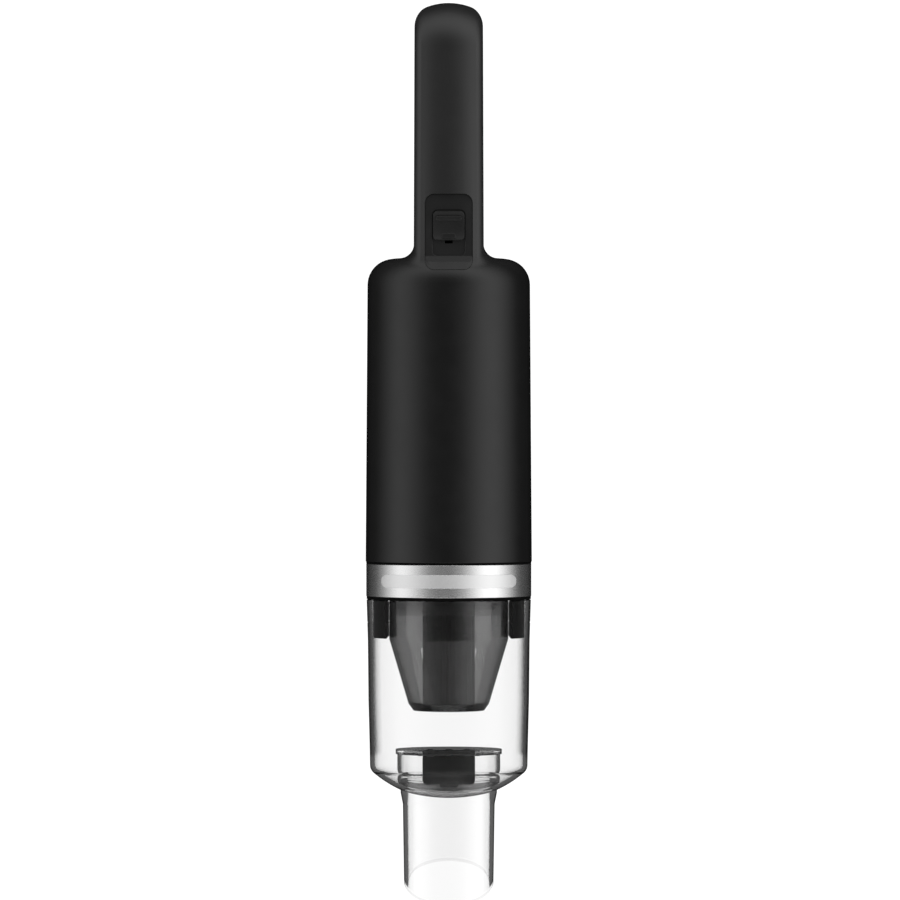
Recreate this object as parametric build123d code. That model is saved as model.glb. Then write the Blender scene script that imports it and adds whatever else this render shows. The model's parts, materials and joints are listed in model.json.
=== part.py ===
from build123d import *
import os
from math import cos, pi, radians, sin

# Cordless hand vacuum lying on its back, thumb switch up, in millimetres.
# Everything is drawn about the vacuum's own axis first: X across, Y along the axis from the
# joint face (the trim band's lower edge) towards the handle, Z towards the switch side.
# The last step moves every piece into the row frame, with the table at Z = 0.

# Driving dimensions: casing
BODY_RADIUS = 40.5
SHOULDER_RADIUS = 39.4
SHOULDER_TOP = 165.6
SHOULDER_ROUND = 12.5
WALL = 2.4
VENT_LOW, VENT_HIGH = 45.0, 56.0
VENT_HALF_WIDTH = 1.5
VENT_COUNT = 9
VENT_STEP = 9.0
FAR = 60.0

# Driving dimensions: trim band and the seat it sits on
BAND_RADIUS = 40.1
BAND_LOW, BAND_HIGH = 2.1, 17.65
SHELL_START = 18.8
SEAT_RADIUS = 37.6
GROOVE_RADIUS = 39.3
SEAT_BORE = 35.2
SEAT_HIGH = 21.6
PLATE_HALF_WIDTH = 32.5
PLATE_LOW, PLATE_HIGH = 6.7, 13.0
PLATE_HEIGHT = 0.5

# Driving dimensions: looped handle
HANDLE_END = 288.8
HALF_WIDTH_END = 16.45
HALF_WIDTH_ROOT = 16.9
GRIP_FRONT = 36.0
GRIP_BACK = 11.0
BAR_FRONT = -16.5
BAR_BACK = -38.0
END_THICKNESS = 21.5
LOOP_ROOT = 148.0
OUTER_BEND = 22.0
INNER_BEND = 9.0
CROWN_RADIUS = 30.0
CROWN_TRIM = 0.2
PLAN_ROUND = 12.0
OUTER_ROUND = 6.0
INNER_ROUND = 6.0
ROOT_FILLET = 7.0
TABLE_LEVEL = -BODY_RADIUS

# Driving dimensions: covers and pads on the handle
COVER_LOW, COVER_HIGH = 176.0, 262.0
GRIP_PARTING = 15.5
BAR_PARTING = -21.0
LINER_HALF_WIDTH = 9.5
LINER_LOW, LINER_HIGH = 180.0, 258.0
LINER_CORNER = 6.0
LINER_RISE = 0.8
LINER_RIBS = 15
LINER_RIB_PITCH = 4.0
PAD_SINK = 1.0

# Driving dimensions: switch in the front of the grip
POCKET_LOW, POCKET_HIGH = 159.1, 195.7
POCKET_HALF_WIDTH = 11.4
POCKET_CORNER = 4.5
POCKET_FLOOR = 33.4
BEZEL_BACK = 31.9
TRACK_LOW, TRACK_HIGH = 165.9, 188.0
TRACK_HALF_WIDTH = 7.9
TRACK_FLOOR = 32.6
SLIDER_LOW, SLIDER_HIGH = 173.4, 187.4
SLIDER_TRAVEL = 7.0
STEM_MIDDLE = 180.4

# Driving dimensions: dust cup, inlet duct and nozzle
CUP_RIM = 0.15
CUP_RIM_RADIUS = 39.9
CUP_WAIST, CUP_WAIST_RADIUS = -19.4, 39.3
CUP_MIDDLE, CUP_MIDDLE_RADIUS = -48.6, 39.0
CUP_LOWER, CUP_LOWER_RADIUS = -68.0, 38.5
CUP_FOOT_RADIUS = 37.5
CUP_FOOT_ROUND = 5.0
CUP_WALL = 2.2
CUP_GROOVE_LOW, CUP_GROOVE_HIGH = -11.0, -10.5
CUP_GROOVE_RADIUS = 39.25
DOME_RADIUS = 56.5
DOME_APEX = -97.2
DUCT_TOP = -72.3
DUCT_PLATE = 2.3
DUCT_HALF_WIDTH = 25.0
DUCT_HALF_DEPTH = 18.5
DUCT_FRONT = 17.0
DUCT_WALL = 1.5
DUCT_SHOULDER = -88.0
WINDOW_HALF_WIDTH = 11.0
WINDOW_LOW, WINDOW_HIGH = -86.5, -75.5
COLLAR_HALF_WIDTH = 23.4
COLLAR_HALF_DEPTH = 15.4
COLLAR_TOP = -87.0
COLLAR_TURN = -93.5
NOZZLE_START = -99.0
NOZZLE_HALF_WIDTH = 22.3
NOZZLE_HALF_DEPTH = 15.2
MOUTH_HALF_WIDTH = 21.5
MOUTH_HALF_DEPTH = 14.8
NOZZLE_WALL = 2.0
FRONT_LIP = -147.6
BACK_LIP = -126.4

# Driving dimensions: flap valve on the inlet duct
HINGE_STATION = -73.1
HINGE_HEIGHT = 19.2
KNUCKLE_RADIUS = 1.9
KNUCKLE_PITCH = 8.8
KNUCKLE_HALF_LENGTH = 1.5
BARREL_RADIUS = 1.4
EAR_WIDTH = 1.8
PIN_RADIUS = 0.8
FLAP_HALF_WIDTH = 12.6
FLAP_END = -87.9
FLAP_TAB_END = -89.2
FLAP_TAB_HALF_WIDTH = 4.4
FLAP_THICKNESS = 1.4
CLEAR = 0.3

# Driving dimensions: filter
FILTER_TOP = 0.3
FILTER_NECK_RADIUS = 28.9
FILTER_NECK_END = -18.8
FILTER_TAPER_END = -50.2
FILTER_END = -53.5
FILTER_END_RADIUS = 19.6
FILTER_WALL = 1.6
PLEAT_OUTER, PLEAT_INNER = 12.7, 9.2
PLEAT_CORE = 8.0
PLEAT_COUNT = 24
PLEAT_HIGH = -7.0
END_CAP_THICKNESS = 2.6
PULL_RECESS_RADIUS = 9.0
PULL_RECESS_DEPTH = 1.6
AIR_SLOT_LOW, AIR_SLOT_HIGH = -46.0, -24.0
AIR_SLOT_HALF_WIDTH = 1.6
AIR_SLOT_COUNT = 4
AIR_SLOT_STEP = 20.0

# Driving dimensions: bulkhead
FLANGE_RADIUS = 39.6
FLANGE_LOW, FLANGE_HIGH = 0.5, 1.9
PLUG_RADIUS = 35.1
PLUG_TOP = 5.2
SEAL_LOW, SEAL_HIGH = 2.8, 4.2
SEAL_DEPTH = 1.1
INTAKE_RADIUS = 16.0
GRILLE_PITCH = 5.4
GRILLE_BAR = 1.2
LUG_INNER = 29.6
LUG_RADIUS = 36.7
LUG_HALF_HEIGHT = 20.5
LUG_END = -18.0

# Driving dimensions: release button behind the body
BUTTON_HALF_WIDTH = 7.0
BUTTON_LOW, BUTTON_HIGH = 24.0, 36.0
BUTTON_FACE = -39.5
BUTTON_GAP = 0.4
ARM_HALF_WIDTH = 4.0
ARM_BACK, ARM_FRONT = -34.6, -32.8
SPRING_SEAT = -29.6
SPRING_STATION = 31.0
SPRING_RADIUS = 3.0
SPRING_WIRE = 0.3

# Driving dimensions: fan and motor
SHROUD_RADIUS = 30.0
SHROUD_END = 20.0
SHROUD_WALL = 1.6
IMPELLER_RADIUS = 26.0
IMPELLER_LOW, IMPELLER_HIGH = 8.2, 17.6
BLADE_COUNT = 9
BLADE_THICKNESS = 1.2
CAN_RADIUS = 18.0
CAN_WALL = 1.6
CAN_LOW, CAN_HIGH = 25.0, 66.0
SHAFT_RADIUS = 1.6
SHAFT_LOW, SHAFT_HIGH = 6.8, 73.5
BEARING_RADIUS = 5.0
BEARING_BORE = 1.68
CORE_RADIUS = 12.6
CORE_LOW, CORE_HIGH = 33.0, 57.0
ROTOR_SLOTS = 7
COMMUTATOR_SLOTS = 12
CRADLE_RADIUS = 37.3
CRADLE_BORE = 19.35
CRADLE_THICKNESS = 4.0
FRONT_CRADLE, REAR_CRADLE = 39.0, 58.0

# Driving dimensions: battery and circuit board
CELL_RADIUS = 9.15
CELL_LOW, CELL_HIGH = 80.0, 145.0
CELL_CIRCLE = 10.9
CELL_ANGLES = (90, 210, 330)
HOLDER_RADIUS = 36.4
BOARD_HALF_WIDTH = 11.2
BOARD_LOW, BOARD_HIGH = 166.0, 258.0
BOARD_BACK, BOARD_FRONT = 17.0, 18.6
BOARD_SCREWS = (194.0, 250.0)
SWITCH_LOW, SWITCH_HIGH = 168.0, 184.0
SWITCH_TOP = 26.0
SWITCH_HALF_WIDTH = 5.0
WIRE_SIDE = 8.0
WIRE_HEIGHT = 24.0
WIRE_RADIUS = 0.8

# Driving dimensions: casing screws, as (X, station)
SCREW_SPOTS = ((28.0, 73.0), (-28.0, 73.0), (23.0, 151.0), (-23.0, 151.0), (0.0, 278.0))
SCREW_RADIUS = 1.5
SCREW_TIP = 14.5
HEAD_RADIUS = 3.0
HEAD_HEIGHT = 2.4
BOSS_RADIUS = 4.0

# Driving dimensions: charging socket in the end of the loop
SOCKET_HEIGHT = -8.0
SOCKET_WIDTH, SOCKET_DEPTH = 9.0, 3.4
SOCKET_LOW, SOCKET_HIGH = 282.6, 288.4
LIGHT_HEIGHT = 5.0
LIGHT_RADIUS = 1.3
LIGHT_LOW = 284.0

GAP = 0.1
ROW_SHIFT = Location((0, -(HANDLE_END + FRONT_LIP) / 2, -TABLE_LEVEL))


# Helpers

def along_axis(sketch, low, high):
    """Extrudes a sketch drawn in X and Z along the vacuum's axis, from low to high."""
    plane = Plane(origin=(0, high, 0), x_dir=(1, 0, 0), z_dir=(0, -1, 0))
    return extrude(plane * sketch, amount=high - low)


def disc(radius, low, high):
    return along_axis(Circle(radius), low, high)


def ring(outer, inner, low, high):
    return along_axis(Circle(outer) - Circle(inner), low, high)


def turned(points):
    """Revolves an outline of (radius, station) points about the axis."""
    outline = Polyline(*points, close=True)
    return revolve(make_face(outline), Axis.Y)


def block(x_low, x_high, low, high, z_low, z_high):
    """A box between two X values, two stations and two Z values."""
    size = (x_high - x_low, high - low, z_high - z_low)
    middle = ((x_high + x_low) / 2, (high + low) / 2, (z_high + z_low) / 2)
    return Pos(*middle) * Box(*size)


def pad(half_width, low, high, corner, z_low, z_high):
    """A slab with rounded corners, seen square on from the front."""
    sketch = Pos(0, (low + high) / 2) * RectangleRounded(2 * half_width, high - low, corner)
    return extrude(Pos(0, 0, z_low) * sketch, amount=z_high - z_low)


def upright(radius, x, station, z_low, z_high):
    """A cylinder that stands along Z."""
    return Pos(x, station, (z_low + z_high) / 2) * Cylinder(radius, z_high - z_low)


def crossbar(radius, x_low, x_high, station, height):
    """A cylinder that lies along X."""
    length = x_high - x_low
    return Pos((x_low + x_high) / 2, station, height) * Rot(0, 90, 0) * Cylinder(radius, length)


def side_profile(points, half_width):
    """Extrudes an outline of (station, Z) points to both sides of the middle plane."""
    outline = Plane.YZ * Polyline(*points, close=True)
    return extrude(make_face(outline), amount=half_width, both=True)


def turned_copies(piece, angles):
    """Copies of a piece turned about the axis, fused."""
    total = piece.rotate(Axis.Y, angles[0])
    for angle in angles[1:]:
        total = total + piece.rotate(Axis.Y, angle)
    return total


def fanned(count, step):
    """Angles a step apart, the same to both sides of the middle plane."""
    return [step * (i - (count - 1) / 2) for i in range(count)]


def separate(pieces):
    """Several loose solids of one node."""
    return Compound([solid for piece in pieces for solid in piece.solids()])


# Outer form of the casing

def body_form(inset):
    """Tapered cylinder with a rounded shoulder; inset makes the same form, smaller all round."""
    top = SHOULDER_TOP - inset
    low_radius = BODY_RADIUS - inset
    top_radius = SHOULDER_RADIUS - inset
    body = turned([(0, 0), (low_radius, 0), (top_radius, top), (0, top)])
    rim = body.edges().filter_by(GeomType.CIRCLE).sort_by(Axis.Y)[-1]
    return fillet(rim, SHOULDER_ROUND - inset)


def crown_cut(inset):
    """What the crowned outside of the loop leaves over from a flat one, swept along the U."""
    end = HANDLE_END - inset
    front, back = GRIP_FRONT - inset, BAR_BACK + inset
    path = Plane.YZ * FilletPolyline((LOOP_ROOT, front), (end, front), (end, back),
                                     (LOOP_ROOT, back), radius=OUTER_BEND - inset)
    radius = CROWN_RADIUS - inset
    flat = Rectangle(2 * HALF_WIDTH_ROOT + 2, radius + 2, align=(Align.CENTER, Align.MIN))
    section = Pos(0, front - radius) * (flat - Circle(radius))
    start = Plane(origin=(0, LOOP_ROOT, 0), x_dir=(1, 0, 0), z_dir=(0, -1, 0))
    return sweep(start * section, path=path)


def loop_form(inset):
    """The two bars and the end bend of the handle, as one U that starts inside the body."""
    trim = CROWN_TRIM
    end = HANDLE_END - inset + trim
    outer_low, outer_high = BAR_BACK + inset - trim, GRIP_FRONT - inset + trim
    inner_low, inner_high = BAR_FRONT - inset, GRIP_BACK + inset
    inner_end = HANDLE_END - END_THICKNESS + inset
    outline = Polyline(
        (LOOP_ROOT, outer_low), (end, outer_low), (end, outer_high), (LOOP_ROOT, outer_high),
        (LOOP_ROOT, inner_high), (inner_end, inner_high), (inner_end, inner_low),
        (LOOP_ROOT, inner_low), close=True)
    face = make_face(Plane.YZ * outline)
    corners = [v for v in face.vertices() if abs(v.Y - end) < GAP]
    face = fillet(corners, OUTER_BEND - inset + trim)
    corners = [v for v in face.vertices() if abs(v.Y - inner_end) < GAP]
    face = fillet(corners, INNER_BEND + inset)
    bars = extrude(face, amount=FAR, both=True)
    root, tip = HALF_WIDTH_ROOT - inset, HALF_WIDTH_END - inset
    far_end = HANDLE_END - inset
    plan = make_face(Polyline((-root, LOOP_ROOT), (root, LOOP_ROOT), (tip, far_end),
                              (-tip, far_end), close=True))
    corners = [v for v in plan.vertices() if v.Y > LOOP_ROOT + 1]
    plan = fillet(corners, PLAN_ROUND - inset)
    wedge = extrude(Pos(0, 0, -FAR) * plan, amount=2 * FAR)
    bars = (bars & wedge) - crown_cut(inset)
    bars = fillet(long_edges(bars, True), OUTER_ROUND - inset)
    return fillet(long_edges(bars, False), INNER_ROUND - inset)


def long_edges(bars, outside):
    """Edges along the sides of the loop, either round its outside or round its inside."""
    chosen = []
    for edge in bars.edges():
        middle = edge.center()
        inside = (BAR_FRONT - 5 < middle.Z < GRIP_BACK + 5
                  and middle.Y < HANDLE_END - END_THICKNESS + 5)
        along = abs(middle.X) > HALF_WIDTH_END - WALL - 1 and abs(middle.Y - LOOP_ROOT) > GAP
        if along and inside != outside:
            chosen.append(edge)
    return chosen


def casing_form():
    """Body and loop with a soft hollow where the two bars leave the shoulder."""
    body, loop = body_form(0), loop_form(0)
    whole = body + loop
    roots = [e for e in new_edges(body, loop, combined=whole) if e.center().Y > LOOP_ROOT + 1]
    return fillet(roots, ROOT_FILLET)


def casing_cavity():
    """The hollow inside the casing, narrower where the band and the bulkhead sit."""
    seat = turned([(SEAT_BORE, -1), (FAR, -1), (FAR, SEAT_HIGH), (SEAT_BORE + 3, SEAT_HIGH),
                   (SEAT_BORE, SEAT_HIGH - 3)])
    return body_form(WALL) - seat + loop_form(WALL)


def casing_skin(casing):
    skin = casing - casing_cavity()
    skin = skin - ring(FAR, SEAT_RADIUS, -1, BAND_HIGH + 0.05)
    skin = skin - ring(FAR, GROOVE_RADIUS, -1, SHELL_START)
    return skin - disc(FAR, -1, BAND_LOW)


def bosses(z_low, z_high):
    """Screw posts trimmed to the inside of the casing."""
    inside = body_form(1) + loop_form(1)
    return [upright(BOSS_RADIUS, x, station, z_low, z_high) & inside for x, station in SCREW_SPOTS]


def head_level(x):
    """Z of the seat of a casing screw's head, below the skin at that X."""
    return -18.0 if abs(x) > 1 else -31.0


def front_shell(skin):
    """Front half of the casing with the front of the grip."""
    shell = skin & block(-FAR, FAR, -10, 300, 0, FAR)
    for boss in bosses(0, FAR):
        shell = shell + boss
    for x, station in SCREW_SPOTS:
        shell = shell - upright(SCREW_RADIUS + 0.05, x, station, -1, SCREW_TIP + 0.5)
    shell = shell - pad(POCKET_HALF_WIDTH, POCKET_LOW, POCKET_HIGH, POCKET_CORNER, 31.0, FAR)
    shell = shell - block(-FAR, FAR, COVER_LOW, COVER_HIGH, -1, GRIP_PARTING)
    return shell - along_axis(Pos(0, LIGHT_HEIGHT) * Circle(LIGHT_RADIUS + GAP), LIGHT_LOW - 1, 300)


def rear_shell(skin):
    """Rear half of the casing with the back of the loop."""
    shell = skin & block(-FAR, FAR, -10, 300, -FAR, 0)
    for boss in bosses(-FAR, 0):
        shell = shell + boss
    for x, station in SCREW_SPOTS:
        shell = shell - upright(SCREW_RADIUS + GAP, x, station, -FAR, 1)
        shell = shell - upright(HEAD_RADIUS + CLEAR, x, station, -FAR, head_level(x))
    shell = shell - block(-FAR, FAR, COVER_LOW, COVER_HIGH, BAR_PARTING, 1)
    shell = shell - pad(LINER_HALF_WIDTH, LINER_LOW, LINER_HIGH, LINER_CORNER, -FAR, BAR_BACK + PAD_SINK)
    shell = shell - pad(BUTTON_HALF_WIDTH + BUTTON_GAP, BUTTON_LOW - BUTTON_GAP,
                        BUTTON_HIGH + BUTTON_GAP, 4 + BUTTON_GAP, -FAR, -30)
    slot = pad(VENT_HALF_WIDTH, VENT_LOW, VENT_HIGH, VENT_HALF_WIDTH - GAP, -FAR, -30)
    shell = shell - turned_copies(slot, fanned(VENT_COUNT, VENT_STEP))
    socket = Pos(0, SOCKET_HEIGHT) * RectangleRounded(SOCKET_WIDTH + 0.4, SOCKET_DEPTH + 0.4, 1.8)
    return shell - along_axis(socket, 284, 300)


def grip_cover(skin):
    """Back wall of the grip, with two posts for the circuit board."""
    cover = skin & block(-FAR, FAR, COVER_LOW, COVER_HIGH, 0, GRIP_PARTING)
    for station in BOARD_SCREWS:
        cover = cover + upright(2.6, 0, station, GRIP_BACK + WALL - GAP, BOARD_BACK)
        cover = cover - upright(1.25, 0, station, GRIP_BACK + WALL, BOARD_BACK + 1)
    groove = pad(LINER_HALF_WIDTH, LINER_LOW, LINER_HIGH, LINER_CORNER, -1, GRIP_BACK + PAD_SINK)
    return cover - groove


def bar_cover(skin):
    """Front wall of the loop's back bar."""
    return skin & block(-FAR, FAR, COVER_LOW, COVER_HIGH, BAR_PARTING, 0)


def grip_liner():
    """Soft pad behind the grip, where the fingers close."""
    liner = pad(LINER_HALF_WIDTH, LINER_LOW, LINER_HIGH, LINER_CORNER, GRIP_BACK - LINER_RISE,
                GRIP_BACK + PAD_SINK)
    groove = block(-LINER_HALF_WIDTH + 2, LINER_HALF_WIDTH - 2, -0.6, 0.6, 0,
                   GRIP_BACK - LINER_RISE + 0.4)
    middle = (LINER_LOW + LINER_HIGH) / 2
    for i in range(LINER_RIBS):
        station = middle + LINER_RIB_PITCH * (i - LINER_RIBS // 2)
        liner = liner - Pos(0, station, 0) * groove
    return liner


def foot_pad(casing):
    """Soft pad under the back bar: the vacuum rests on it when it lies on its back."""
    sole = pad(LINER_HALF_WIDTH, LINER_LOW, LINER_HIGH, LINER_CORNER, TABLE_LEVEL, BAR_BACK + 3) - casing
    return sole + pad(LINER_HALF_WIDTH, LINER_LOW, LINER_HIGH, LINER_CORNER, TABLE_LEVEL,
                      BAR_BACK + PAD_SINK)


def casing_screws():
    screws = []
    for x, station in SCREW_SPOTS:
        seat = head_level(x)
        screw = upright(SCREW_RADIUS, x, station, seat, SCREW_TIP)
        screw = screw + upright(HEAD_RADIUS, x, station, seat - HEAD_HEIGHT, seat)
        screw = screw - Pos(x, station, seat - 2) * Box(3.4, 0.8, 1.4)
        screw = screw - Pos(x, station, seat - 2) * Box(0.8, 3.4, 1.4)
        screws.append(screw)
    return separate(screws)


def trim_band():
    return ring(BAND_RADIUS, SEAT_RADIUS + GAP, BAND_LOW, BAND_HIGH)


def name_plate():
    """Blank raised bar across the front of the band."""
    skin = ring(BAND_RADIUS + PLATE_HEIGHT, BAND_RADIUS + 0.01, BAND_LOW, BAND_HIGH)
    outline = pad(PLATE_HALF_WIDTH, PLATE_LOW, PLATE_HIGH, 2.7, 0, FAR)
    return skin & outline


# Switch

def switch_bezel(casing):
    """Plate in the pocket, ramped up at its low end, with the track the slider runs in."""
    profile = [(POCKET_LOW + GAP, BEZEL_BACK), (POCKET_HIGH - GAP, BEZEL_BACK),
               (POCKET_HIGH - GAP, POCKET_FLOOR), (TRACK_LOW, POCKET_FLOOR),
               (TRACK_LOW - 2.9, POCKET_FLOOR + 1), (POCKET_LOW + GAP, POCKET_FLOOR + 3.6)]
    plate = side_profile(profile, POCKET_HALF_WIDTH)
    plate = plate & pad(POCKET_HALF_WIDTH - GAP, POCKET_LOW + GAP, POCKET_HIGH - GAP,
                        POCKET_CORNER - GAP, 0, FAR)
    plate = plate - pad(TRACK_HALF_WIDTH, TRACK_LOW, TRACK_HIGH, 2.4, TRACK_FLOOR, FAR)
    low, high = STEM_MIDDLE - SLIDER_TRAVEL - 1.4, STEM_MIDDLE + 1.4
    return (plate & casing) - block(-1.9, 1.9, low, high, 0, FAR)


def power_slider():
    """Thumb piece with a cross ridge and a nub, and the stem that works the switch."""
    half_width = TRACK_HALF_WIDTH - 0.4
    bottom, top = TRACK_FLOOR + CLEAR, 35.2
    slider = pad(half_width, SLIDER_LOW, SLIDER_HIGH, 2.2, bottom, top)
    slider = slider - crossbar(24, -FAR, FAR, STEM_MIDDLE, top + 23.1)
    slider = slider + pad(6, 183.0, 184.8, 0.8, bottom, top + 0.4)
    slider = slider + pad(3.2, 174.3, 176.7, 1.1, bottom, top + 0.5)
    slider = slider + block(-1.5, 1.5, STEM_MIDDLE - 1, STEM_MIDDLE + 1, SWITCH_TOP - 1,
                            bottom)
    clip_high = BEZEL_BACK - 0.4
    return slider + block(-4, 4, STEM_MIDDLE - 2, STEM_MIDDLE + 2, clip_high - 1.4, clip_high)


def slide_switch():
    body = block(-SWITCH_HALF_WIDTH, SWITCH_HALF_WIDTH, SWITCH_LOW, SWITCH_HIGH, BOARD_FRONT,
                 SWITCH_TOP)
    slot = block(-2, 2, STEM_MIDDLE - SLIDER_TRAVEL - 1.8, STEM_MIDDLE + 1.8, SWITCH_TOP - 1.4,
                 SWITCH_TOP + 1)
    return body - slot


# Dust cup, inlet duct, flap and nozzle

def dome_limit(inset):
    """Everything above the domed bottom of the cup."""
    middle = DOME_APEX + DOME_RADIUS
    ball = Pos(0, middle, 0) * Sphere(DOME_RADIUS - inset)
    return ball + disc(FAR, middle, 5)


def cup_form(inset, top):
    """Gently tapered cup with a domed bottom; inset makes the same form, smaller all round."""
    below = DOME_APEX - 20
    sides = turned([(0, top), (CUP_RIM_RADIUS - inset, top),
                    (CUP_WAIST_RADIUS - inset, CUP_WAIST),
                    (CUP_MIDDLE_RADIUS - inset, CUP_MIDDLE),
                    (CUP_LOWER_RADIUS - inset, CUP_LOWER),
                    (CUP_FOOT_RADIUS - inset, below), (0, below)])
    cup = sides & dome_limit(inset)
    foot = cup.edges().filter_by(GeomType.CIRCLE).sort_by(Axis.Y)[0]
    return fillet(foot, CUP_FOOT_ROUND - inset)


def duct_outline(shrink):
    """Oval of the inlet duct with its flat front."""
    oval = Ellipse(DUCT_HALF_WIDTH - shrink, DUCT_HALF_DEPTH - shrink)
    front = DUCT_FRONT - shrink
    return oval & Pos(0, front - FAR) * Rectangle(2 * FAR, 2 * FAR)


def dust_cup():
    cup = cup_form(0, CUP_RIM) - cup_form(CUP_WALL, 1)
    cup = cup - along_axis(duct_outline(-0.05), -120, -60)
    return cup - ring(FAR, CUP_GROOVE_RADIUS, CUP_GROOVE_LOW, CUP_GROOVE_HIGH)


def hinge_ears():
    """Two ears on the duct's top edge that hold the ends of the flap's pin."""
    low = FLAP_HALF_WIDTH + CLEAR
    high = low + EAR_WIDTH
    ear = crossbar(BARREL_RADIUS, low, high, HINGE_STATION, HINGE_HEIGHT)
    ear = ear + block(low, high, DUCT_TOP - DUCT_PLATE, DUCT_TOP, DUCT_FRONT - 1, HINGE_HEIGHT)
    return ear + mirror(ear, Plane.YZ)


def inlet_duct():
    """Boxed inlet that stands on the dome; dirt leaves it through the window in its front."""
    duct = along_axis(duct_outline(0), -120, DUCT_TOP) & dome_limit(0)
    duct = duct + along_axis(duct_outline(-0.8), DUCT_TOP - DUCT_PLATE, DUCT_TOP)
    duct = duct & block(-FAR, FAR, -120, 0, -FAR, DUCT_FRONT)
    duct = duct - along_axis(duct_outline(DUCT_WALL), DUCT_SHOULDER, DUCT_TOP - DUCT_PLATE)
    bore = Ellipse(COLLAR_HALF_WIDTH + 0.05, COLLAR_HALF_DEPTH + 0.05)
    duct = duct - along_axis(bore, -120, DUCT_SHOULDER + 1)
    duct = duct - block(-WINDOW_HALF_WIDTH, WINDOW_HALF_WIDTH, WINDOW_LOW, WINDOW_HIGH, 8, FAR)
    duct = duct + hinge_ears()
    return duct - crossbar(PIN_RADIUS + 0.03, -FAR, FAR, HINGE_STATION, HINGE_HEIGHT)


def flap_valve():
    """Hanging flap over the duct's window, with a barrel, three knuckles and a lifting tab."""
    back = DUCT_FRONT + CLEAR
    front = back + FLAP_THICKNESS
    flap = pad(FLAP_HALF_WIDTH, FLAP_END, HINGE_STATION, 2.4, back, front)
    flap = flap + pad(FLAP_TAB_HALF_WIDTH, FLAP_TAB_END, FLAP_END + 4, 1, back, front)
    flap = flap + crossbar(BARREL_RADIUS, -FLAP_HALF_WIDTH, FLAP_HALF_WIDTH, HINGE_STATION,
                           HINGE_HEIGHT)
    for i in (-1, 0, 1):
        middle = i * KNUCKLE_PITCH
        flap = flap + crossbar(KNUCKLE_RADIUS, middle - KNUCKLE_HALF_LENGTH,
                               middle + KNUCKLE_HALF_LENGTH, HINGE_STATION, HINGE_HEIGHT)
    return flap - crossbar(PIN_RADIUS + 0.08, -FAR, FAR, HINGE_STATION, HINGE_HEIGHT)


def flap_pin():
    reach = FLAP_HALF_WIDTH + CLEAR + EAR_WIDTH
    return crossbar(PIN_RADIUS, -reach, reach, HINGE_STATION, HINGE_HEIGHT)


def oval_loft(width_low, depth_low, low, width_high, depth_high, high):
    """Straight loft between two ovals across the axis."""
    lower = Plane(origin=(0, low, 0), x_dir=(1, 0, 0), z_dir=(0, -1, 0))
    upper = Plane(origin=(0, high, 0), x_dir=(1, 0, 0), z_dir=(0, -1, 0))
    return loft([upper * Ellipse(width_high, depth_high), lower * Ellipse(width_low, depth_low)])


def nozzle():
    """Oval tube with a collar at the cup and a slanted mouth."""
    low = FRONT_LIP - 4
    tube = oval_loft(MOUTH_HALF_WIDTH, MOUTH_HALF_DEPTH, low,
                     NOZZLE_HALF_WIDTH, NOZZLE_HALF_DEPTH, NOZZLE_START)
    tube = tube + oval_loft(NOZZLE_HALF_WIDTH, NOZZLE_HALF_DEPTH, NOZZLE_START,
                            COLLAR_HALF_WIDTH, COLLAR_HALF_DEPTH, COLLAR_TURN)
    collar = Ellipse(COLLAR_HALF_WIDTH, COLLAR_HALF_DEPTH)
    tube = tube + along_axis(collar, COLLAR_TURN, COLLAR_TOP)
    bore = oval_loft(MOUTH_HALF_WIDTH - NOZZLE_WALL, MOUTH_HALF_DEPTH - NOZZLE_WALL, low - 1,
                     NOZZLE_HALF_WIDTH - NOZZLE_WALL, NOZZLE_HALF_DEPTH - NOZZLE_WALL,
                     COLLAR_TOP + 1)
    slope = (FRONT_LIP - BACK_LIP) / (2 * MOUTH_HALF_DEPTH)
    middle = (FRONT_LIP + BACK_LIP) / 2
    reach = 24.0
    mouth = side_profile([(middle - slope * reach, -reach), (middle + slope * reach, reach),
                          (-220, reach), (-220, -reach)], FAR)
    return tube - bore - mouth


# Filter

def filter_cup():
    """Smoked tapered cup around the filter, with air slots at its back."""
    neck, end = FILTER_NECK_RADIUS, FILTER_END_RADIUS
    wall = FILTER_WALL
    hole = PLEAT_OUTER + GAP
    shell = turned([(neck, FILTER_TOP), (neck, FILTER_NECK_END), (end, FILTER_TAPER_END),
                    (end - 2.4, FILTER_END), (hole, FILTER_END), (hole, FILTER_END + wall),
                    (end - 2.4 - wall, FILTER_END + wall), (end - wall, FILTER_TAPER_END + 1),
                    (neck - wall, FILTER_NECK_END), (neck - wall, FILTER_TOP)])
    slot = pad(AIR_SLOT_HALF_WIDTH, AIR_SLOT_LOW, AIR_SLOT_HIGH, AIR_SLOT_HALF_WIDTH - GAP, -FAR,
               -10)
    return shell - turned_copies(slot, fanned(AIR_SLOT_COUNT, AIR_SLOT_STEP))


def filter_seal():
    return ring(FILTER_NECK_RADIUS - FILTER_WALL - GAP, 24.6, PLEAT_HIGH + 2.8, FILTER_TOP)


def filter_cap():
    """Ring that holds the pleats to the neck."""
    return ring(FILTER_NECK_RADIUS - FILTER_WALL - GAP, PLEAT_CORE, PLEAT_HIGH,
                PLEAT_HIGH + 2.7)


def pleated_filter():
    points = []
    for i in range(2 * PLEAT_COUNT):
        radius = PLEAT_OUTER if i % 2 == 0 else PLEAT_INNER
        angle = pi * i / PLEAT_COUNT
        points.append((radius * cos(angle), radius * sin(angle)))
    star = make_face(Polyline(*points, close=True))
    return along_axis(star - Circle(PLEAT_CORE), FILTER_END + END_CAP_THICKNESS, PLEAT_HIGH)


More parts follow.
